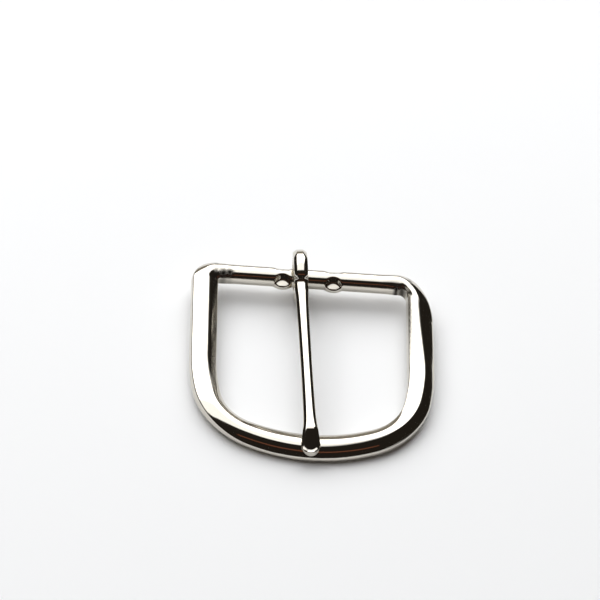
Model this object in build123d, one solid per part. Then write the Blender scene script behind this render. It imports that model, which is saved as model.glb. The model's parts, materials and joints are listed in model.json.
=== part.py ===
from build123d import *
import os
from math import asin, atan2, cos, degrees, hypot, radians, sin

# Solid cast heel-bar belt buckle: a D-shaped frame whose back edge is a round strap bar, and a tongue
# whose eye turns on that bar between two staked stops. Millimetres and degrees.
#
# Both pieces are drawn in the buckle's own flat plane: X runs along the strap bar, Y from the front bar
# (negative) to the strap bar's axis at Y = 0, and Z out of the front face. The last step leans them into
# the attitude in which the buckle lies on a table, on its front bar and on the underside of the eye.

# Frame
opening_width = 40.6      # between the side rails, for a 40 mm strap
reach = 46.5              # from the strap bar's axis to the middle of the front bar
rail_width = 5.8          # of the D-shaped rails and front bar, seen from the front
rail_thickness = 3.85     # from the flat back to the crest of the dome
crest_shift = 0.1         # how far the crest lies towards the opening
edge_radius = 0.95        # rounding between the flat back and the sides
front_radius = 35.2       # of the shallow curve in the middle of the front bar
front_turn = 22.5         # angle of that curve, each side of the middle
side_radius = 46.4        # of the gentle curve that leads into each straight side
side_turn = 11.0          # angle of that curve
bar_diameter = 4.2        # round strap bar
heel_inner_radius = 0.6   # inside corner, where a side turns into the strap bar
heel_overhang = 0.35      # how far the heel corners stand out behind the strap bar
heel_blend = 2.4          # length in which a heel corner narrows to the round bar
flat_arc = 25             # half the arc of the round bar that faces the flat back, in degrees

# Stops, staked out of the strap bar
stop_length = 3.5
stop_height = 0.7         # of the ear, beyond the bar's surface
stop_angle = 24.0         # of the ear, below the front of the bar
stop_shift = -1.0         # of the pair, from the middle of the bar
ear_radius = 1.1          # of the ear's round, at its fattest
notch_depth = 0.5         # of the scoop that the staking tool left, on top of the bar
notch_radius = 1.6        # of the scoop's round
notch_length = 4.2
notch_back = 0.5          # how far the scoop lies behind the crest of the bar

# Tongue
eye_width = 3.0
eye_play = 1.3            # how much larger than the bar the eye's hole is, on the radius
eye_strand = 2.35         # thickness of the metal round the hole
eye_rub = 0.12            # gap between the bar and the strand that carries it
eye_forward = 0.27        # how far the middle of the eye lies in front of the bar's axis
side_play = 2.3           # between the eye and each stop
shoulder_radius = 3.0     # of the front of the eye, above the shank
shoulder_angle = 119.5    # where that curve leaves the round of the eye, from the back
shoulder_turn = 42.0      # angle of that curve
shoulder_drop = 0.35      # from the end of that curve down to the shank
shank_waist = 2.36        # narrowest width of the shank
neck_swell = 0.08         # how much wider, each side, the shank is on both sides of its waist
flare_start = 0.3         # how much wider, each side, it is where the spade begins
flare_length = 3.0        # length over which it gets there
shank_thickness = 2.35
crease_back = 0.6         # how far the front of the eye slopes back as it drops to the shank
spade_width = 4.0         # widest part of the tip
spade_length = 5.2        # from its end to where it begins to dip
spade_overhang = 0.25     # how far the tip stands out past the front bar
spade_seat = 0.20         # gap between the tip and the front bar
spade_nose = 1.9          # length of the rounded end, seen from above
spade_lip = 1.1           # width of the lip at the very end
lip_height = 0.55         # top of the lip, above the crest of the front bar
dip_height = 0.3          # bottom of the dip behind the lip, above the same crest
toe_follow = 0.3276       # share of the dome's height by which the underside of the end falls
crease_round = 0.3        # roundings of the side view: where the eye meets the shank,
kink_round = 1.2          # where the spade begins to dip,
foot_round = 0.8          # at the bottom of the dip,
lip_round = 0.12          # on top of the lip,
toe_round = 0.3           # under the very end,
joint_round = 1.2         # and where the underside of the shank meets the eye
tongue_turn = 3.0         # how far the loose tongue is turned towards +X
tongue_shift = -2.7       # where the eye sits along the bar

bar_radius = bar_diameter / 2
half_width = (opening_width + rail_width) / 2
crest_height = bar_radius
dome_height = rail_thickness - edge_radius
widest_height = crest_height - dome_height
toe_depth = toe_follow * dome_height - spade_seat
outer_half = rail_width / 2 + crest_shift
inner_half = rail_width / 2 - crest_shift
stop_spacing = eye_width + 2 * side_play + stop_length
eye_hole = bar_radius + eye_play
eye_outer = eye_hole + eye_strand
eye_y = -eye_forward
eye_z = eye_play - eye_rub
spade_y = -reach - rail_width / 2 - spade_overhang


def quarter(middle, x_radius, y_radius, start):
    """A quarter of an ellipse, counter-clockwise from the angle start."""
    return EllipticalCenterArc(middle, x_radius, y_radius, start, arc_size=90)


def rail_outline():
    """Section of the rails and front bar about its crest: a dome over a flat back, X outwards."""
    outer_flat = outer_half - edge_radius
    inner_flat = inner_half - edge_radius
    return [
        quarter((0, 0), outer_half, dome_height, 0),
        quarter((0, 0), inner_half, dome_height, 90),
        quarter((-inner_flat, 0), edge_radius, edge_radius, 180),
        Line((-inner_flat, -edge_radius), (outer_flat, -edge_radius)),
        quarter((outer_flat, 0), edge_radius, edge_radius, 270),
    ]


def bar_outline():
    """The round bar's section as five arcs, which meet the five edges of a rail's section."""
    back = flat_arc
    return [
        CenterArc((0, 0), bar_radius, 0, 90),
        CenterArc((0, 0), bar_radius, 90, 90),
        CenterArc((0, 0), bar_radius, 180, 90 - back),
        CenterArc((0, 0), bar_radius, 270 - back, 2 * back),
        CenterArc((0, 0), bar_radius, 270 + back, 90 - back),
    ]


def section(edges, point, outward, height):
    """Stands a section up at a point of the plan, with its X along outward and its Y along +Z."""
    x, y = point
    across = Vector(outward[0], outward[1], 0)
    plane = Plane(origin=(x, y, height), x_dir=across, z_dir=across.cross(Vector(0, 0, 1)))
    return plane * make_face(Wire(edges))


def half_path():
    """Line of the crest from the middle of the front bar up to the right heel corner."""
    last = 90 - side_turn
    rail = half_width - crest_shift
    front = front_radius - crest_shift
    side = side_radius - crest_shift
    lead = front * sin(radians(front_turn)) + side * (1 - sin(radians(last)))
    corner = (rail - lead) / (sin(radians(last)) - sin(radians(front_turn)))
    bottom = JernArc((0, crest_shift - reach), (1, 0), front, front_turn)
    bend = JernArc(bottom @ 1, bottom % 1, corner, last - front_turn)
    flank = JernArc(bend @ 1, bend % 1, side, side_turn)
    top = heel_middle_y()
    return [bottom, bend, flank, Line(flank @ 1, (rail, top))]


def heel_middle_y():
    """Level of the centre about which a heel corner turns."""
    return bar_radius + heel_overhang - rail_width - heel_inner_radius


def rails():
    """The front bar and both sides, as one swept band."""
    right = Wire(half_path())
    start = section(rail_outline(), (0, crest_shift - reach), (0, -1), widest_height)
    half = sweep(start, path=right)
    return half + mirror(half, Plane.YZ)


def heel_corner():
    """The right heel corner: a quarter turn, then a blend down to the round bar."""
    middle_x = half_width - rail_width / 2 - heel_inner_radius
    middle_y = heel_middle_y()
    radius = heel_inner_radius + inner_half
    start = section(rail_outline(), (middle_x + radius, middle_y), (1, 0), widest_height)
    turned = revolve(start, Axis((middle_x, middle_y, 0), (0, 0, 1)), 90)
    wide = section(rail_outline(), (middle_x, middle_y + radius), (0, 1), widest_height)
    narrow = section(bar_outline(), (middle_x - heel_blend, 0), (0, 1), 0)
    return turned + loft([wide, narrow])


def strap_bar():
    """The straight round bar between the two heel blends."""
    half = half_width - rail_width / 2 - heel_inner_radius - heel_blend
    return Rot(0, 90, 0) * Cylinder(bar_radius, 2 * half)


def spindle(length, radius):
    """A spindle shape along X: half an ellipse turned about its long axis."""
    arc = EllipticalCenterArc((0, 0), length / 2, radius, 0, arc_size=180)
    face = make_face([arc, Line(arc @ 1, arc @ 0)])
    return revolve(face, Axis.X, 360)


def stop(x):
    """An ear bulging from the lower front of the bar, and the scoop behind it."""
    out = bar_radius + stop_height - ear_radius
    drop = radians(stop_angle)
    ear = Pos(x, -out * cos(drop), -out * sin(drop)) * spindle(stop_length, ear_radius)
    over = bar_radius + notch_radius - notch_depth
    scoop = Pos(x, notch_back, over) * spindle(notch_length, notch_radius)
    return ear, scoop


def make_frame():
    corner = heel_corner()
    body = rails() + corner + mirror(corner, Plane.YZ) + strap_bar()
    for side in (-1, 1):
        ear, scoop = stop(stop_shift + side * stop_spacing / 2)
        body = body + ear - scoop
    return body


def eye_point(angle, radius):
    """A point of the side view about the middle of the eye, with its angle from +Y towards +Z."""
    return Vector(eye_y + radius * cos(radians(angle)), eye_z + radius * sin(radians(angle)))


def soften(face, corners):
    """Rounds corners of a flat face, each given as a point and a radius."""
    for point, radius in corners:
        face = fillet(face.vertices().sort_by_distance(point)[0], radius)
    return face


def side_view():
    """The tongue seen from its side, with Y along the sheet and Z up it."""
    crown_start = eye_point(shoulder_angle, eye_outer)
    tangent = eye_point(shoulder_angle + 90, 1) - eye_point(0, 0)
    crown = JernArc(crown_start, tangent, shoulder_radius, shoulder_turn)
    crease = (crown @ 1) + Vector(-crease_back, -shoulder_drop)
    kink = Vector(spade_y + spade_length, crest_height + spade_seat + shank_thickness)
    foot = Vector(spade_y + spade_lip, crest_height + dip_height)
    lip = Vector(spade_y, crest_height + lip_height)
    toe = Vector(spade_y, crest_height - toe_depth)
    seat = Vector(crest_shift - reach, crest_height + spade_seat)
    joint_height = crease.Y - shank_thickness - eye_z
    joint_angle = 180 - degrees(asin(joint_height / eye_outer))
    joint = eye_point(joint_angle, eye_outer)
    around = shoulder_angle + 360 - joint_angle
    loop = CenterArc((eye_y, eye_z), eye_outer, joint_angle, around)
    corners = [crown @ 1, crease, kink, foot, lip, toe, seat, joint]
    outline = [crown, loop]
    for start, end in zip(corners, corners[1:]):
        outline.append(Line(start, end))
    rounds = [(crease, crease_round), (kink, kink_round), (foot, foot_round)]
    rounds += [(lip, lip_round), (toe, toe_round), (joint, joint_round)]
    face = soften(make_face(outline), rounds)
    return face - Pos(eye_y, eye_z) * Circle(eye_hole)


def plan_view():
    """The tongue seen from above: parallel at the eye, waisted, and flared to a round spade."""
    eye = eye_width / 2
    waist = shank_waist / 2
    spade = spade_width / 2
    neck = waist + neck_swell
    back = eye_y + eye_outer + 1
    front = eye_y - eye_outer
    middle = (front + spade_y) / 2
    side = Spline(
        (eye, front),
        (neck, (front + middle) / 2),
        (waist, middle),
        (neck, spade_y + spade_length + flare_length),
        (waist + flare_start, spade_y + spade_length),
        (spade, spade_y + spade_nose),
        tangents=[(0, -1), (0, -1)],
    )
    outline = [Line((0, back), (eye, back)), Line((eye, back), (eye, front)), side]
    outline.append(quarter((0, spade_y + spade_nose), spade, spade_nose, 270))
    outline.append(Line((0, spade_y), (0, back)))
    half = make_face(outline)
    return half + mirror(half, Plane.YZ)


def make_tongue():
    """The tongue in its resting place, loosely turned on the bar."""
    tall = 3 * eye_outer
    from_side = extrude(Plane.YZ.offset(-tall) * side_view(), 2 * tall)
    from_above = extrude(Plane.XY.offset(-tall) * plan_view(), 2 * tall)
    body = from_side & from_above
    return Pos(tongue_shift, 0, 0) * Rot(0, 0, tongue_turn) * body


def resting_lean():
    """The angle at which the front bar and the underside of the eye both touch a table.

    Their lowest rounds have their centres level_gap apart in height and run apart in Y."""
    run = eye_y + reach + rail_width / 2 - edge_radius
    level_gap = eye_z - widest_height
    rise = eye_outer - edge_radius
    return degrees(asin(rise / hypot(run, level_gap)) - atan2(level_gap, run))


def main():
    os.makedirs("parts", exist_ok=True)
    lean = Rot(resting_lean(), 0, 0)
    pieces = {"frame": lean * make_frame(), "tongue": lean * make_tongue()}
    box = Compound(list(pieces.values())).bounding_box()
    stand = Pos(-box.center().X, -box.center().Y, -box.min.Z)
    for name, piece in pieces.items():
        export_step(stand * piece, "parts/" + name + ".step")
    print("lean", resting_lean(), "strap bar's axis at", stand.position)


main()
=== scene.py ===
import json
import math

import bpy
import numpy as np
from mathutils import Matrix, Vector


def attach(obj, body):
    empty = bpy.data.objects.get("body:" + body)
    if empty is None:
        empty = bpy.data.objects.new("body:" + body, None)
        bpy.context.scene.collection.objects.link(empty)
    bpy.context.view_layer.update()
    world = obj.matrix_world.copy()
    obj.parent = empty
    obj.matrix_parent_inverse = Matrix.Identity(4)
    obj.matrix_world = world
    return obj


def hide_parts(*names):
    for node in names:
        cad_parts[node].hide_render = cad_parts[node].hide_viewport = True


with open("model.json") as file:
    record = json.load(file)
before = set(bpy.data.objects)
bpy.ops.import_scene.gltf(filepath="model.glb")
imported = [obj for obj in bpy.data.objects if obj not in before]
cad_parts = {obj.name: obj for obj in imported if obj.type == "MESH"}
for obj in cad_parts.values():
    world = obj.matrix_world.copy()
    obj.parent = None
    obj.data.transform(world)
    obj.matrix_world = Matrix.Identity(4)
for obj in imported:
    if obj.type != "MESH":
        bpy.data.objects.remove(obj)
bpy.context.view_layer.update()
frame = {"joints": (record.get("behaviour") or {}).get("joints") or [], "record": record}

# A solid cast heel-bar buckle. Sizes are in millimetres, in the buckle's own flat plane: X runs along the
# strap bar, Y from the front bar (negative) to the strap bar's axis at Y = 0, and Z out of the front face.
MM = 0.001

OPENING = 40.6            # between the side rails
REACH = 46.5              # strap bar's axis to the middle of the front bar
RAIL_WIDTH = 5.9
SIDE_WIDTH = 5.8          # as polished: the sides and the front bar,
CORNER_WIDTH = 5.05       # and the narrower front corners
CREST = 2.1               # height of the dome's crest above the strap bar's axis
BACK = -1.75              # height of the flat back
FRONT_RADIUS = 35.2       # shallow curve of the front bar, and the angle that it turns
FRONT_TURN = 22.5
SIDE_RADIUS = 46.4        # gentle curve into each straight side, and the angle that it turns
SIDE_TURN = 11.0
BAR_RADIUS = 2.1          # round strap bar
HEEL_OVERHANG = 0.35      # the heel corners stand out this far behind the strap bar

STOP_MIDDLES = (-6.5, 4.5)
STOP_HALF = 2.0           # half the length of a staked stop
STOP_BULGE = 0.8          # the ear stands this far out of the bar's round,
STOP_LOW = -10.0          # most of all at this angle from the front of the bar
STOP_SPREAD = 30.0        # and it fades over this angle
SHELF_TILT = 24.0         # the punch left a flat shelf that tips forwards by this angle,
SHELF_FRONT = (2.85, 0.1)  # through this place in front of the axis and above it,
CUT_BACK = 1.25           # and a curved wall behind it, this far in front of the axis,
CUT_TILT = 60.0           # that leans back from the upright
CUT_HALF = 1.75           # half the length of the cut
SCOOP_HALF = 2.3          # half the length of the shallow scoop behind it
SCOOP_DEPTH = 0.5
SCOOP_AIM = 130.0         # angle of the scoop, up over the top of the bar
SCOOP_SPREAD = 42.0

EYE_WIDTH = 3.0
EYE_Y, EYE_Z = -0.27, 1.18
EYE_HOLE = 3.4
EYE_OUTER = 5.75
SHOULDER_RADIUS = 2.64    # front of the eye, above the shank
SHOULDER_START = 119.5
SHOULDER_TURN = 36.0
CROOK_RADIUS = 1.0        # and the hollow curve from there into the top of the shank
CROOK_TURN = 63.5
TONGUE_EDGE = 0.85        # width of the filed bevel along the tongue's edges
EDGE_FALL = 0.74          # its depth, as a share of its width
EDGE_POWER = 1.15         # 2 would be a round edge, and 1 a plain bevel
HOLE_EDGE = 0.3
SPADE_HALF = 2.05         # half the spade's width,
SPADE_NOSE = 1.9          # and the length of its rounded end
SPADE_END = -REACH - RAIL_WIDTH / 2 - 0.1
CREASE_Y, CREASE_Z = -5.2, 4.12    # where the shank's upper face starts, in front of the eye
KINK_Y, KINK_Z = -44.6, 4.75       # and where it starts to dip into the spade
DIP_Z = 2.0               # bottom of the dip
DIP_SLOPE, DIP_EASE = 0.63, 0.25
JOIN_ANGLE = 173.8        # where the underside of the shank leaves the round of the eye
LIP = 0.3                 # the spade's rim curls up by this much
TOE_Z = 0.75              # underside at the very tip
SHANK_PLACES = (-45.6, -43.6, -41.0, -36.0, -27.0, -16.0, -9.0)     # along the shank, from the spade
SHANK_HALVES = (1.72, 1.45, 1.31, 1.24, 1.2, 1.24, 1.32)            # and half its width there
NECK_Y = -6.15            # first section of the shank, just in front of the eye
NECK_BOTTOM = 1.8         # height of its underside there
SEAT = 0.2                # gap between the shank and the crest of the front bar
SPADE_EDGE = 0.3          # width of the rounded edge of the spade
TONGUE_TURN = 3.0         # the loose tongue lies turned by this angle towards +X
TONGUE_ROLL = -4.0        # its eye leans this far over towards -X
TONGUE_SHIFT = -2.7       # and its eye sits here along the bar

HALF_WIDTH = (OPENING + RAIL_WIDTH) / 2

# Half sections of a rail from its crest down each side, as arcs: radius in mm and the angle turned, or a
# plain wall and its height. On the front bar the polished outer bevel is full and round; on the sides it
# is filed flatter. The inner bevel falls to about 35 degrees before it turns into the opening.
FRONT_ARCS = ((2.1, 29.5), (3.9, 37.0), (0.6, 22.0), (None, 0.3), (0.6, 41.5), (2.37, 50.0))
SIDE_ARCS = ((2.1, 26.0), (11.0, 11.0), (0.6, 52.0), (None, 1.0), (0.6, 41.0), (1.6, 50.0))
INNER_ARCS = ((2.1, 17.0), (6.5, 18.0), (0.5, 53.5), (None, 1.4), (0.95, 91.5))
OUTER_STEPS = (8, 12, 10, 3, 8, 10)        # points along each of those arcs
INNER_STEPS = (7, 9, 18, 3, 24)
WALL_TURN = 0.4           # a plain wall's points turn by this much, so that no two face alike
BACK_FACED = 172.0        # angle faced where each half section meets the flat back

# Heel corners: the rounding of the opening's corner, and the outer corner's across and along the side
RIGHT_INNER, RIGHT_OUTER = 1.3, (8.0, 12.5)
LEFT_INNER, LEFT_OUTER = 0.45, (5.1, 5.1)
SIDE_BY = 80.0            # the front bar's section has become a side's by this angle of the path
HEEL_ROUND = 0.55         # share of the bar's roundness that a corner has reached at its end
SKIN_AND_SHADE_SPOTS = ((-19.3, -1.2, 1.3), (-18.0, -1.0, 1.2),    # casting skin and painted shade in the heel corners: X, Y and how far it spreads
              (19.3, -2.4, 1.2), (18.1, -2.0, 0.8))      # how far it spreads
SKIN_AND_SHADE_BEVEL, SKIN_AND_SHADE_BEVEL_HALF = 0.7, 0.85    # middle of the skin and painted dark reflection on the inner bevels, and half its width
SKIN_AND_SHADE_ON_BEVELS = 0.35     # how much of it shows there, mostly as a painted dark reflection
HEEL_BLEND = 4.0          # length along the bar in which it reaches the rest

NICKEL = "#d2cdc3"
SKIN_AND_PAINTED_SHADE = "#1f1b17"     # plate over the skin of the casting, near-black with painted shade and dark reflection

# The studio, in metres
SHEET_WIDTH, SHEET_LENGTH, SHEET_FRONT = 5.0, 3.1, 2.4
OVERHEAD = [(-2.1, -0.48, 1.4), (0.28, -0.48, 1.4), (0.75, 0.4, 1.3), (-1.8, 0.4, 1.3)]
SOFTBOX = [(-1.8, 0.4, 1.3), (0.75, 0.4, 1.3), (2.08, 2.3, 0.85), (-1.5, 2.3, 0.85)]
GREY_WALL = [(-1.3, 2.45, 0.0), (0.45, 2.45, 0.0), (0.45, 2.45, 0.9), (-1.3, 2.45, 0.9)]
# glowing panels painted as a lit and a shaded copy of wooden shelves, seen in the dark reflections
LIT_WOOD_SHELF = [(-1.2, -1.2, 0.86), (1.2, -1.2, 0.86), (1.2, -1.2, 1.04), (-1.2, -1.2, 1.04)]
WOOD_SHADE = [(-1.3, -1.25, 0.72), (1.3, -1.25, 0.72), (1.3, -1.25, 1.2), (-1.3, -1.25, 1.2)]

CAMERA_AZIMUTH, CAMERA_HEIGHT, CAMERA_ROLL = -5.8, 45.94, 8.0
CAMERA_AWAY = 1020.0      # mm from the point that it looks at
CAMERA_SCALE = 4.628
CAMERA_AIM = (-2.23, 20.15, 0.0)


def buckle_to_world():
    """The lean and place of the buckle's plane, from the frame's own hinge and flat back."""
    hinge = frame["joints"][0]["pos_m"]
    back = next(m for m in frame["record"]["mounts"] if m["name"] == "back_face")["axis"]
    lean = math.atan2(back[1], -back[2])
    return Matrix.Translation(hinge) @ Matrix.Rotation(lean, 4, "X") @ Matrix.Scale(MM, 4)


def ease(t):
    """0 to 1 with level ends."""
    t = np.clip(t, 0, 1)
    return t * t * (3 - 2 * t)


def half_section(arcs, steps):
    """Points down one side of a rail, from the crest at (0, 0), and the direction faced at each."""
    points, faced = [(0.0, 0.0)], [0.0]
    for (radius, amount), count in zip(arcs, steps):
        u, z = points[-1]
        if radius is None:
            for k in range(1, count + 1):
                points.append((u, z - amount * k / count))
                faced.append(faced[-1] + WALL_TURN)
            continue
        start = faced[-1]
        for k in range(1, count + 1):
            turned = math.radians(start + amount * k / count)
            first = math.radians(start)
            points.append((u + radius * (math.sin(turned) - math.sin(first)),
                           z - radius * (math.cos(first) - math.cos(turned))))
            faced.append(start + amount * k / count)
    return np.array(points), np.array(faced)


def rail_and_bar_sections(outer_arcs):
    """A rail's section and the round bar's, point for point, with a rail's widest places at -1 and 1."""
    outer, outer_faced = half_section(outer_arcs, OUTER_STEPS)
    inner, inner_faced = half_section(INNER_ARCS, INNER_STEPS)
    outer_faced = outer_faced * BACK_FACED / outer_faced[-1]
    inner_faced = inner_faced * BACK_FACED / inner_faced[-1]
    outer[:, 1] *= (CREST - BACK) / -outer[-1, 1]
    inner[:, 1] *= (CREST - BACK) / -inner[-1, 1]
    outer[:, 0] /= outer[:, 0].max()
    inner[:, 0] /= -inner[:, 0].max()
    shares = np.linspace(0, 1, 6)[1:-1]
    low = [inner[-1] + (outer[-1] - inner[-1]) * share for share in shares]
    rail = np.concatenate([outer[::-1], inner[1:], low])
    back_faced = -BACK_FACED - 2 * (180 - BACK_FACED) * shares
    faced = np.concatenate([outer_faced[::-1], -inner_faced[1:], back_faced])
    bar = np.column_stack([np.sin(np.radians(faced)), np.cos(np.radians(faced))])
    rail[:, 1] += CREST
    return rail, bar


FRONT_SECTION, BAR_SECTION = rail_and_bar_sections(FRONT_ARCS)
SIDE_SECTION, _ = rail_and_bar_sections(SIDE_ARCS)


def section(half, crest, side_share, round_share, lean):
    """One closed section, X outwards and Y up, between the front bar's, a side's and the round bar's."""
    rail = FRONT_SECTION + (SIDE_SECTION - FRONT_SECTION) * side_share
    reach = np.where(rail[:, 0] > 0, half - crest, half + crest)
    rail = np.column_stack([crest + rail[:, 0] * reach, rail[:, 1]])
    turn = math.radians(lean)
    x = rail[:, 0] * math.cos(turn) + rail[:, 1] * math.sin(turn)
    y = rail[:, 1] * math.cos(turn) - rail[:, 0] * math.sin(turn)
    x = (x - (x.max() + x.min()) / 2) * 2 * half / np.ptp(x)
    y = np.maximum(y + CREST - y.max(), -BAR_RADIUS)
    bar = np.column_stack([BAR_SECTION[:, 0] * half, BAR_SECTION[:, 1] * BAR_RADIUS])
    rail = np.column_stack([x, y])
    return rail + (bar - rail) * round_share


def ring(inner, outer, crest=0.0, side_share=1.0, round_share=0.0, lean=0.0):
    """A section stood up between a point of the opening's edge and one of the outer edge."""
    inner, outer = np.array(inner, float), np.array(outer, float)
    span = outer - inner
    width = np.linalg.norm(span)
    drawn = section(width / 2, crest, side_share, round_share, lean)
    flat = (inner + outer) / 2 + np.outer(drawn[:, 0], span / width)
    return np.column_stack([flat, drawn[:, 1]])


def polished_width(heading):
    """Width of the rail where the frame runs at this angle to the strap bar: narrower at the corners."""
    corner = 1 - ease(abs(min(heading, 90) - 45) / 45)
    return SIDE_WIDTH + (CORNER_WIDTH - SIDE_WIDTH) * corner


def front_rings(twist, lean, step=0.4):
    """Sections from the middle of the front bar, round the corner and into the right side."""
    last = 90 - SIDE_TURN
    first_sine, last_sine = math.sin(math.radians(FRONT_TURN)), math.sin(math.radians(last))
    run = FRONT_RADIUS * first_sine + SIDE_RADIUS * (1 - last_sine)
    corner = (HALF_WIDTH - run) / (last_sine - first_sine)
    point, heading = np.array([0.0, -REACH]), 0.0
    rings = []
    for radius, turn in ((FRONT_RADIUS, FRONT_TURN), (corner, last - FRONT_TURN), (SIDE_RADIUS, SIDE_TURN)):
        centre = point + radius * np.array([-math.sin(heading), math.cos(heading)])
        count = round(radius * math.radians(turn) / step)
        for k in range(count):
            angle = heading + math.radians(turn) * k / count
            out = np.array([math.sin(angle), -math.cos(angle)])
            middle = centre + radius * out
            half = polished_width(math.degrees(angle)) / 2
            along = ease(math.degrees(angle) / SIDE_BY)
            rings.append(ring(middle - out * half, middle + out * half, -twist(middle[1]), along, 0.0,
                              lean(middle[1]) * along))
        heading += math.radians(turn)
        point = centre + radius * np.array([math.sin(heading), -math.cos(heading)])
    return rings, point[1]


def heel_rings(start, inner_radius, outer_radii, twist, lean, step=0.35, corner_steps=36, bar_step=0.12):
    """Sections up the right side, round its heel corner and along the strap bar to the middle."""
    near, far = HALF_WIDTH - SIDE_WIDTH / 2, HALF_WIDTH + SIDE_WIDTH / 2
    heel = BAR_RADIUS + HEEL_OVERHANG
    inner_turn = np.array([near - inner_radius, -BAR_RADIUS - inner_radius])
    outer_turn = np.array([far, heel]) - outer_radii
    rings = []
    count = round((inner_turn[1] - start) / step)
    for k in range(count):
        share = k / count
        low = start + (inner_turn[1] - start) * share
        high = start + (outer_turn[1] - start) * share
        rings.append(ring((near, low), (far, high), -twist(low), 1.0, 0.0, lean(low)))
    for k in range(corner_steps):
        share = k / corner_steps
        out = np.array([math.cos(share * math.pi / 2), math.sin(share * math.pi / 2)])
        rest = 1 - ease(share)
        rings.append(ring(inner_turn + inner_radius * out, outer_turn + outer_radii * out,
                          -twist(0.0) * (1 - share**3), 1.0, HEEL_ROUND * ease(share), lean(0.0) * rest))
    count = round(outer_turn[0] / bar_step)
    for k in range(count + 1):
        share = k / count
        along = ease((outer_turn[0] * share) / HEEL_BLEND)
        inner = (inner_turn[0] * (1 - share), -BAR_RADIUS)
        outer = (outer_turn[0] * (1 - share), BAR_RADIUS + HEEL_OVERHANG * (1 - along))
        rings.append(ring(inner, outer, 0.0, 1.0, HEEL_ROUND + (1 - HEEL_ROUND) * along))
    return rings


def half_frame(inner_radius, outer_radii, twist, lean):
    """One side of the frame, from the middle of the front bar to the middle of the strap bar."""
    front, start = front_rings(twist, lean)
    return front + heel_rings(start, inner_radius, np.array(outer_radii), twist, lean)


def blunt_less(a, b, width=0.1):
    """The smaller of two values, blended where they cross."""
    return (a + b - np.sqrt((a - b)**2 + width**2)) / 2


def staked(points):
    """Raises each stop's ear out of the strap bar, cuts its shelf and presses the scoop behind it."""
    on_bar = (points[:, 1] > -BAR_RADIUS - 0.01) & (np.abs(points[:, 0]) < 12)
    bar = points[on_bar]
    angle = np.degrees(np.arctan2(bar[:, 2], -bar[:, 1]))
    front, up = np.cos(np.radians(angle)), np.sin(np.radians(angle))
    radius = np.full(len(bar), BAR_RADIUS)
    tilt = math.tan(math.radians(SHELF_TILT))
    steep = math.sin(math.radians(CUT_TILT)), math.cos(math.radians(CUT_TILT))
    for middle in STOP_MIDDLES:
        along = bar[:, 0] - middle
        ear = STOP_BULGE * np.clip(1 - (along / STOP_HALF)**2, 0, 1)**0.9
        ear = BAR_RADIUS + ear * np.exp(-((angle - STOP_LOW) / STOP_SPREAD)**2)
        shelf = (SHELF_FRONT[1] + SHELF_FRONT[0] * tilt) / np.clip(up + tilt * front, 0.01, 2)
        foot = SHELF_FRONT[1] + (SHELF_FRONT[0] - CUT_BACK) * tilt
        back = CUT_BACK * steep[0] + foot * steep[1]
        back = back + (BAR_RADIUS + 0.05 - back) * (along / CUT_HALF)**2
        wall = back / np.clip(front * steep[0] + up * steep[1], 0.01, 1)
        cut = -blunt_less(-shelf, -wall)
        near = np.abs(along) < STOP_HALF + 0.3
        radius = np.where(near, blunt_less(ear, np.minimum(cut, 6)), radius)
    for middle in STOP_MIDDLES:
        along = ease(1 - np.abs(bar[:, 0] - middle) / SCOOP_HALF)
        across = ease(1 - np.abs(angle - SCOOP_AIM) / SCOOP_SPREAD)
        radius = radius - SCOOP_DEPTH * along * across
    points[on_bar, 1] = -front * radius
    points[on_bar, 2] = up * radius
    return points


def mesh_object(name, points, faces):
    """A piece's mesh, welded, with its normals outwards, smooth between its crisp edges."""
    mesh = bpy.data.meshes.new(name)
    mesh.from_pydata([tuple(p) for p in points], [], faces)
    piece = bpy.data.objects.new(name, mesh)
    bpy.context.scene.collection.objects.link(piece)
    bpy.ops.object.select_all(action="DESELECT")
    bpy.context.view_layer.objects.active = piece
    piece.select_set(True)
    bpy.ops.object.mode_set(mode="EDIT")
    bpy.ops.mesh.select_all(action="SELECT")
    bpy.ops.mesh.remove_doubles(threshold=0.0005)
    bpy.ops.mesh.normals_make_consistent(inside=False)
    bpy.ops.object.mode_set(mode="OBJECT")
    bpy.ops.object.shade_smooth_by_angle(angle=math.radians(40))
    piece.select_set(False)
    return piece


def loop_faces(rings, size, closed):
    """Quads between neighbouring rings of the same size."""
    faces = []
    for k in range(rings if closed else rings - 1):
        a, b = k * size, (k + 1) % rings * size
        for j in range(size):
            n = (j + 1) % size
            faces.append((a + j, a + n, b + n, b + j))
    return faces


def right_twist(y):
    """On the right side the polished crest wanders inwards towards the heel."""
    return 2.2 * ease((y + 28) / 27)


def right_lean(y):
    """Its face tips outwards, more towards the heel, in degrees."""
    return 7.0 + 2.0 * ease((y + 28) / 27)


def left_twist(y):
    """On the left side the crest wanders outwards, only a little."""
    return -0.1 * ease((y + 36) / 14)


def left_lean(y):
    """On the left side it tips inwards by the same angle all the way."""
    return -11.0


def buckle_frame():
    """The D-shaped frame: both sides, the front bar and the strap bar with its stops, in one casting."""
    right = half_frame(RIGHT_INNER, RIGHT_OUTER, right_twist, right_lean)
    left = half_frame(LEFT_INNER, LEFT_OUTER, left_twist, left_lean)
    rings = right[:-1] + [r * (-1, 1, 1) for r in reversed(left[1:])]
    points = staked(np.concatenate(rings))
    return points, loop_faces(len(rings), len(rings[0]), True)


def edge_drop(inset, radius):
    """How far a rounded edge has fallen away at a distance from the outline."""
    share = 1 - np.clip(inset, 0, radius) / radius
    return EDGE_FALL * radius * (1 - (1 - share**EDGE_POWER) ** (1 / EDGE_POWER))


def across(half, radius, steps=6, flat=8):
    """Places across a strip of this half width: closer together on its two rounded edges."""
    turn = np.linspace(0, math.pi / 2, steps, endpoint=False)
    edge = half - radius + radius * np.cos(turn)
    middle = np.linspace(half - radius, 0, flat)
    side = np.concatenate([edge, middle])
    return np.concatenate([side, -side[-2::-1]])


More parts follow.
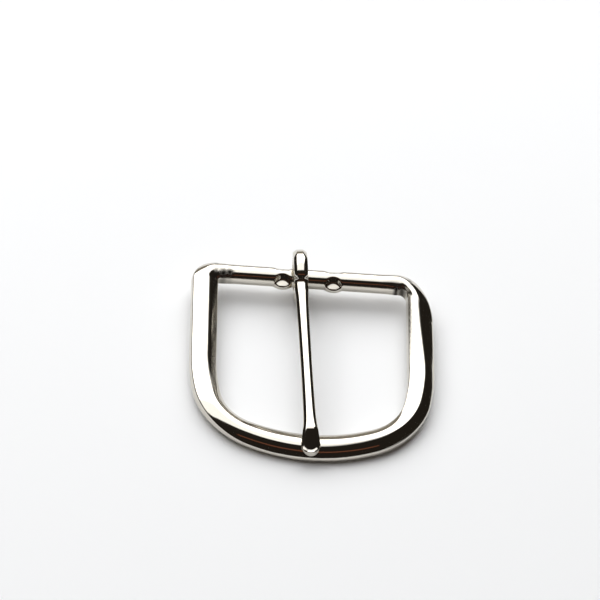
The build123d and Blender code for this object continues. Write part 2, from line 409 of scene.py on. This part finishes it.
def eye_outline():
    """Side view of the eye: points, directions out of it, and the two places where the shank joins."""
    points, outs = [], []

    def add(angle, point):
        points.append(point)
        outs.append((math.cos(angle), math.sin(angle)))

    start, turn = math.radians(SHOULDER_START), math.radians(SHOULDER_TURN)
    centre = np.array([EYE_Y, EYE_Z])
    shoulder = centre + (EYE_OUTER - SHOULDER_RADIUS) * np.array([math.cos(start), math.sin(start)])
    for angle in np.linspace(start, start + turn, 14):
        add(angle, shoulder + SHOULDER_RADIUS * np.array([math.cos(angle), math.sin(angle)]))
    end = start + turn
    crook = points[-1] + CROOK_RADIUS * np.array([math.cos(end), math.sin(end)])
    for angle in np.linspace(end, end - math.radians(CROOK_TURN), 12)[1:]:
        add(angle, crook - CROOK_RADIUS * np.array([math.cos(angle), math.sin(angle)]))
    crease = len(points) - 1
    top = points[crease]
    join = math.radians(JOIN_ANGLE)
    low = centre + EYE_OUTER * np.array([math.cos(join), math.sin(join)])
    for share in np.linspace(0, 1, 8)[1:-1]:
        add(math.pi, top + (low - top) * share)
    foot = len(points)
    for angle in np.linspace(join, start + 2 * math.pi, 110, endpoint=False):
        add(angle, centre + EYE_OUTER * np.array([math.cos(angle), math.sin(angle)]))
    return np.array(points), np.array(outs), crease, foot


def shank_top(y):
    """Height of the shank's upper face: a slow rise, then the dip of the spade."""
    run = np.clip((CREASE_Y - y) / (CREASE_Y - KINK_Y), 0, 1)
    line = CREASE_Z + (KINK_Z - CREASE_Z) * run
    along = np.clip(KINK_Y - y, 0, None)
    dip = np.minimum(DIP_SLOPE * (along - DIP_EASE * (1 - np.exp(-along / DIP_EASE))), KINK_Z - DIP_Z)
    return line - dip


def shank_bottom(y):
    """Height of the underside, which follows the dome of the front bar under the spade."""
    run = np.clip((CREASE_Y - y) / (CREASE_Y + REACH), 0, 1)
    line = NECK_BOTTOM + (CREST + SEAT - NECK_BOTTOM) * run
    over = np.clip((-REACH - y) / (-REACH - SPADE_END), 0, 1)
    return line - (CREST + SEAT - TOE_Z) * over**1.8


def shank_half(y):
    """Half the shank's width: parallel at the eye, waisted, and flared into the spade."""
    places = [SPADE_END, SPADE_END + SPADE_NOSE, *SHANK_PLACES, CREASE_Y]
    halves = [SPADE_HALF, SPADE_HALF, *SHANK_HALVES, EYE_WIDTH / 2]
    return np.interp(y, places, halves)


def smooth_half(y):
    """The same, with the changes of direction eased."""
    spread = np.linspace(-1.2, 1.2, 9)
    return float(np.mean(shank_half(np.clip(y + spread, SPADE_END, CREASE_Y))))


def shank_rings(sides, count):
    """Sections along the shank, from just before the eye to the end of the spade."""
    nose_y = SPADE_END + SPADE_NOSE
    body = np.concatenate([np.linspace(NECK_Y, nose_y + 6, 70),
                           np.linspace(nose_y + 5.8, nose_y, 40)])
    tip = nose_y - SPADE_NOSE * np.sin(np.linspace(0, math.pi / 2, 26)[1:])
    rings = []
    for y in np.concatenate([body, tip]):
        reach = min(1.0, max(0.0, (nose_y - y) / SPADE_NOSE))
        half = smooth_half(y)
        local = half * math.sqrt(max(1 - reach**2, 0.0004))
        x = across(half, TONGUE_EDGE) * local / half
        inset = half - np.hypot(x, half * reach)
        edge = TONGUE_EDGE + (SPADE_EDGE - TONGUE_EDGE) * ease((KINK_Y - 3.0 - y) / 1.8)
        curl = LIP * ease((KINK_Y - 3.2 - y) / 1.2) * np.exp(-((inset / 0.45) ** 2))
        high = shank_top(y) + curl - edge_drop(inset, edge)
        low = shank_bottom(y) + edge_drop(inset, edge)
        down = np.linspace(0, 1, sides + 2)[1:-1]
        falling, rising = high[-1] + (low[-1] - high[-1]) * down, low[0] + (high[0] - low[0]) * down
        across_ring = np.concatenate([x, np.full(sides, x[-1]), x[::-1], np.full(sides, x[0])])
        up_ring = np.concatenate([high, falling, low[::-1], rising])
        rings.append(np.column_stack([across_ring, np.full(len(across_ring), y), up_ring]))
    return rings


def buckle_tongue():
    """The tongue: a round eye, opened at its front, from which the shank grows down to the spade."""
    outline, outs, crease, foot = eye_outline()
    x = across(EYE_WIDTH / 2, TONGUE_EDGE)
    drop = edge_drop(EYE_WIDTH / 2 - np.abs(x), TONGUE_EDGE)
    hole_drop = edge_drop(EYE_WIDTH / 2 - np.abs(x), HOLE_EDGE)
    count = len(x)
    points = []
    for point, out in zip(outline, outs):
        ray = point - (EYE_Y, EYE_Z)
        ray = ray / np.linalg.norm(ray)
        wall = point - np.outer(drop, out)
        bore = np.array([EYE_Y, EYE_Z]) + np.outer(EYE_HOLE + hole_drop, ray)
        points.append(np.column_stack([x, wall]))
        points.append(np.column_stack([x[::-1], bore[::-1]]))
    points = np.concatenate(points)
    size = 2 * count
    stations = len(outline)
    open_wall = set(range(crease, foot))
    faces = []
    for k in range(stations):
        a, b = k * size, (k + 1) % stations * size
        for j in range(size):
            if k in open_wall and j < count - 1:
                continue
            n = (j + 1) % size
            faces.append((a + j, a + n, b + n, b + j))
    sides = foot - crease - 1
    top = [crease * size + j for j in range(count)]
    left = [k * size + count - 1 for k in range(crease + 1, foot)]
    low = [foot * size + j for j in reversed(range(count))]
    right = [k * size for k in reversed(range(crease + 1, foot))]
    mouth = top + left + low + right
    rings = shank_rings(sides, count)
    base = len(points)
    ring_size = len(mouth)
    for j in range(ring_size):
        n = (j + 1) % ring_size
        faces.append((mouth[j], mouth[n], base + n, base + j))
    faces += [tuple(base + v for v in face) for face in loop_faces(len(rings), ring_size, False)]
    faces.append(tuple(base + (len(rings) - 1) * ring_size + j for j in range(ring_size)))
    return np.concatenate([points, np.concatenate(rings)]), faces


def colour(code):
    """A linear colour from a six-figure sRGB code."""
    parts = [int(code[k:k + 2], 16) / 255 for k in (1, 3, 5)]
    return tuple(p / 12.92 if p <= 0.04045 else ((p + 0.055) / 1.055) ** 2.4 for p in parts) + (1.0,)


def add_node(tree, kind, settings=(), **links):
    """Adds a node with its settings and links. An input goes by its name, or by _ and its number, and gets
    either an output socket or a plain value."""
    node = tree.nodes.new(kind)
    for key, value in dict(settings).items():
        setattr(node, key, value)
    for key, value in links.items():
        socket = node.inputs[int(key[1:]) if key[0] == "_" else key.replace("_", " ")]
        if isinstance(value, bpy.types.NodeSocket):
            tree.links.new(value, socket)
        else:
            socket.default_value = value
    return node


def mark_skin_and_painted_shade(piece):
    """Marks where the wheel hardly reaches, so that the skin of the casting shows through the plate, with
    painted shade and dark reflection on it: most in the inside heel corners, and a little along the inner
    bevels of both sides."""
    places = np.array([v.co for v in piece.data.vertices])
    beside = np.abs(np.abs(places[:, 0]) - (OPENING / 2 + SKIN_AND_SHADE_BEVEL))
    bevel = ease(1 - beside / SKIN_AND_SHADE_BEVEL_HALF) * ease((places[:, 2] + 1.2) / 1.5)
    # painted dark reflection along the inner bevels, with a little casting skin
    amount = SKIN_AND_SHADE_ON_BEVELS * bevel * ease((places[:, 1] + 36) / 6)
    for x, y, spread in SKIN_AND_SHADE_SPOTS:
        away = np.hypot(places[:, 0] - x, places[:, 1] - y) / spread
        amount = np.maximum(amount, 1 - ease(away / 1.2))
    # painted shade and dark reflection, together with the casting skin, kept for each point
    skin_and_shade = piece.data.attributes.new("skin_and_painted_shade", "FLOAT", "POINT")
    skin_and_shade.data.foreach_set("value", amount.astype(np.float32))


def polished_nickel(name, wave_mm, wave_height_mm, skin_and_painted_shade=False):
    """Bright nickel plate over hand-polished cast brass: mirror-like, and slightly warm beside chrome."""
    material = bpy.data.materials.new(name)
    material.use_nodes = True
    tree = material.node_tree
    tree.nodes.clear()
    place = add_node(tree, "ShaderNodeTexCoord").outputs["Object"]
    # The wheel leaves slow waves of a few millimetres, which bend the edges of reflections a little.
    waves = add_node(tree, "ShaderNodeTexNoise", Vector=place, Scale=1 / (wave_mm * MM), Detail=1.5,
                     Roughness=0.4)
    swell = add_node(tree, "ShaderNodeBump", Height=waves.outputs["Fac"], Strength=1.0,
                     Distance=wave_height_mm * MM)
    # Fine wiping marks only cloud the mirror. They are drawn 0.9 mm long and 0.13 mm wide, so that they show.
    along = add_node(tree, "ShaderNodeMapping", Vector=place, Scale=(1.0, 7.0, 7.0))
    wipes = add_node(tree, "ShaderNodeTexNoise", Vector=along.outputs["Vector"], Scale=1 / (0.9 * MM),
                     Detail=3.0)
    cloud = add_node(tree, "ShaderNodeMapRange", Value=wipes.outputs["Fac"], From_Min=0.35, From_Max=0.75,
                     To_Min=0.05, To_Max=0.12)
    shader = add_node(tree, "ShaderNodeBsdfPrincipled", Metallic=1.0, Base_Color=colour(NICKEL),
                      Roughness=cloud.outputs["Result"], Normal=swell.outputs["Normal"])
    if skin_and_painted_shade:
        dull_skin_and_painted_shade(tree, place, cloud.outputs["Result"], swell.outputs["Normal"], shader)
    add_node(tree, "ShaderNodeOutputMaterial", Surface=shader.outputs["BSDF"])
    return material


def dull_skin_and_painted_shade(tree, place, roughness, normal, shader):
    """Where the wheel doesn't reach, the plate follows the grain of the sand casting, about 0.5 mm coarse,
    and is duller; its near-black colour is painted shade and dark reflection. The roughness and normal given
    are those of the polished metal."""
    skin_and_shade = add_node(tree, "ShaderNodeAttribute", {"attribute_name": "skin_and_painted_shade"}).outputs["Fac"]
    grain = add_node(tree, "ShaderNodeTexNoise", Vector=place, Scale=1 / (0.55 * MM), Detail=4.0,
                     Roughness=0.7)
    depth = add_node(tree, "ShaderNodeMath", {"operation": "MULTIPLY"}, _0=skin_and_shade, _1=0.16 * MM)
    rough = add_node(tree, "ShaderNodeBump", Height=grain.outputs["Fac"], Distance=depth.outputs["Value"],
                     Normal=normal)
    dull = add_node(tree, "ShaderNodeMath", {"operation": "MULTIPLY_ADD"}, _0=skin_and_shade, _1=0.28, _2=roughness)
    # painted shade: the near-black colour darkens the heel corners and inner bevels as shade and dark
    # reflection would
    tone = add_node(tree, "ShaderNodeMixRGB", Fac=skin_and_shade, Color1=colour(NICKEL), Color2=colour(SKIN_AND_PAINTED_SHADE))
    tree.links.new(tone.outputs["Color"], shader.inputs["Base Color"])
    tree.links.new(dull.outputs["Value"], shader.inputs["Roughness"])
    tree.links.new(rough.outputs["Normal"], shader.inputs["Normal"])


def white_sweep():
    """The matt white sheet that the buckle lies on."""
    material = bpy.data.materials.new("matt_white_sheet")
    material.use_nodes = True
    shader = material.node_tree.nodes["Principled BSDF"]
    shader.inputs["Base Color"].default_value = colour("#f6f7f8")
    shader.inputs["Roughness"].default_value = 0.9
    shader.inputs["Specular IOR Level"].default_value = 0.0
    bpy.ops.mesh.primitive_plane_add(size=1)
    sheet = bpy.context.object
    sheet.name = "sheet"
    sheet.scale = (SHEET_WIDTH, SHEET_LENGTH, 1)
    sheet.location = (0, SHEET_LENGTH / 2 - SHEET_FRONT, 0)
    sheet.data.materials.append(material)


def panel(name, corners, code, strength, fade=None):
    """A plain glowing studio panel, from its four corners in metres. fade is how far in from each edge,
    as a share of the panel, its light is still growing, so that reflections of that edge are soft."""
    shares = np.linspace(0, 1, 33)
    first, second, third, fourth = (np.array(corner) for corner in corners)
    points, glow = [], []
    for v in shares:
        for u in shares:
            points.append((first * (1 - u) + second * u) * (1 - v) + (fourth * (1 - u) + third * u) * v)
            inward = zip((v, 1 - u, 1 - v, u), fade or ())
            glow.append(strength * math.prod(float(ease(place / width)) for place, width in inward if width))
    size = len(shares)
    faces = [(k + j, k + j + 1, k + j + 1 + size, k + j + size)
             for k in range(0, size * (size - 1), size) for j in range(size - 1)]
    mesh = bpy.data.meshes.new(name)
    mesh.from_pydata([tuple(p) for p in points], [], faces)
    mesh.attributes.new("glow", "FLOAT", "POINT").data.foreach_set("value", np.array(glow, np.float32))
    piece = bpy.data.objects.new(name, mesh)
    bpy.context.scene.collection.objects.link(piece)
    material = bpy.data.materials.new(name)
    material.use_nodes = True
    tree = material.node_tree
    tree.nodes.clear()
    lamp = add_node(tree, "ShaderNodeEmission", Color=colour(code), Strength=strength)
    if fade:
        glow = add_node(tree, "ShaderNodeAttribute", {"attribute_name": "glow"}).outputs["Fac"]
        tree.links.new(glow, lamp.inputs["Strength"])
    add_node(tree, "ShaderNodeOutputMaterial", Surface=lamp.outputs["Emission"])
    mesh.materials.append(material)


def studio():
    """Two large soft lights, overhead and behind, in a dark room over a white sheet. A grey wall stands
    behind, and in front two glowing brown panels, painted as a lit and a shaded copy of wooden shelves, lend
    the dark reflections their brown."""
    white_sweep()
    panel("overhead_softbox", OVERHEAD, "#ffffff", 1.62, (0.12, 0.16, 0.0, 0.0))
    panel("rear_softbox", SOFTBOX, "#ffffff", 3.05, (0.0, 0.12, 0.0, 0.0))
    panel("grey_wall", GREY_WALL, "#8f8a80", 1.0)
    panel("glowing_lit_wood_shelf", LIT_WOOD_SHELF, "#6b4433", 1.3)
    panel("shaded_wood", WOOD_SHADE, "#33251f", 0.8)
    world = bpy.data.worlds.new("dark_room")
    world.use_nodes = True
    world.node_tree.nodes["Background"].inputs["Color"].default_value = colour("#26221e")
    world.node_tree.nodes["Background"].inputs["Strength"].default_value = 1.0
    bpy.context.scene.world = world


def camera():
    """A long lens from in front and above, turned a little about its own axis."""
    data = bpy.data.cameras.new("camera")
    data.sensor_width = 36
    data.lens = 36 * CAMERA_AWAY * CAMERA_SCALE / 600
    azimuth, height = math.radians(CAMERA_AZIMUTH), math.radians(CAMERA_HEIGHT)
    level = Vector((math.sin(azimuth), -math.cos(azimuth), 0))
    back = level * math.cos(height) + Vector((0, 0, math.sin(height)))
    right = Vector((0, 0, 1)).cross(back).normalized()
    up = back.cross(right)
    view = Matrix((right, up, back)).transposed().to_4x4()
    view = view @ Matrix.Rotation(math.radians(CAMERA_ROLL), 4, "Z")
    piece = bpy.data.objects.new("camera", data)
    aim = Vector(CAMERA_AIM) * MM
    piece.matrix_world = Matrix.Translation(aim + back * CAMERA_AWAY * MM) @ view
    data.clip_start = 0.01
    bpy.context.scene.collection.objects.link(piece)
    bpy.context.scene.camera = piece


def main():
    place = buckle_to_world()
    points, faces = buckle_frame()
    body = mesh_object("frame_casting", points, faces)
    mark_skin_and_painted_shade(body)
    tongue = mesh_object("tongue_casting", *buckle_tongue())
    turned = Matrix.Translation((TONGUE_SHIFT, 0, 0)) @ Matrix.Rotation(math.radians(TONGUE_TURN), 4, "Z")
    turned = turned @ Matrix.Rotation(math.radians(TONGUE_ROLL), 4, "Y")
    body.data.transform(place)
    tongue.data.transform(place @ turned)
    frame_nickel = polished_nickel("polished_nickel_on_cast_brass_frame", 4.0, 0.02, skin_and_painted_shade=True)
    body.data.materials.append(frame_nickel)
    tongue.data.materials.append(polished_nickel("polished_nickel_on_cast_brass_tongue", 3.0, 0.015))
    for piece, node in ((body, "frame"), (tongue, "tongue")):
        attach(piece, node)
        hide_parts(node)
    studio()
    camera()
    bpy.context.scene.view_settings.view_transform = "Standard"


main()
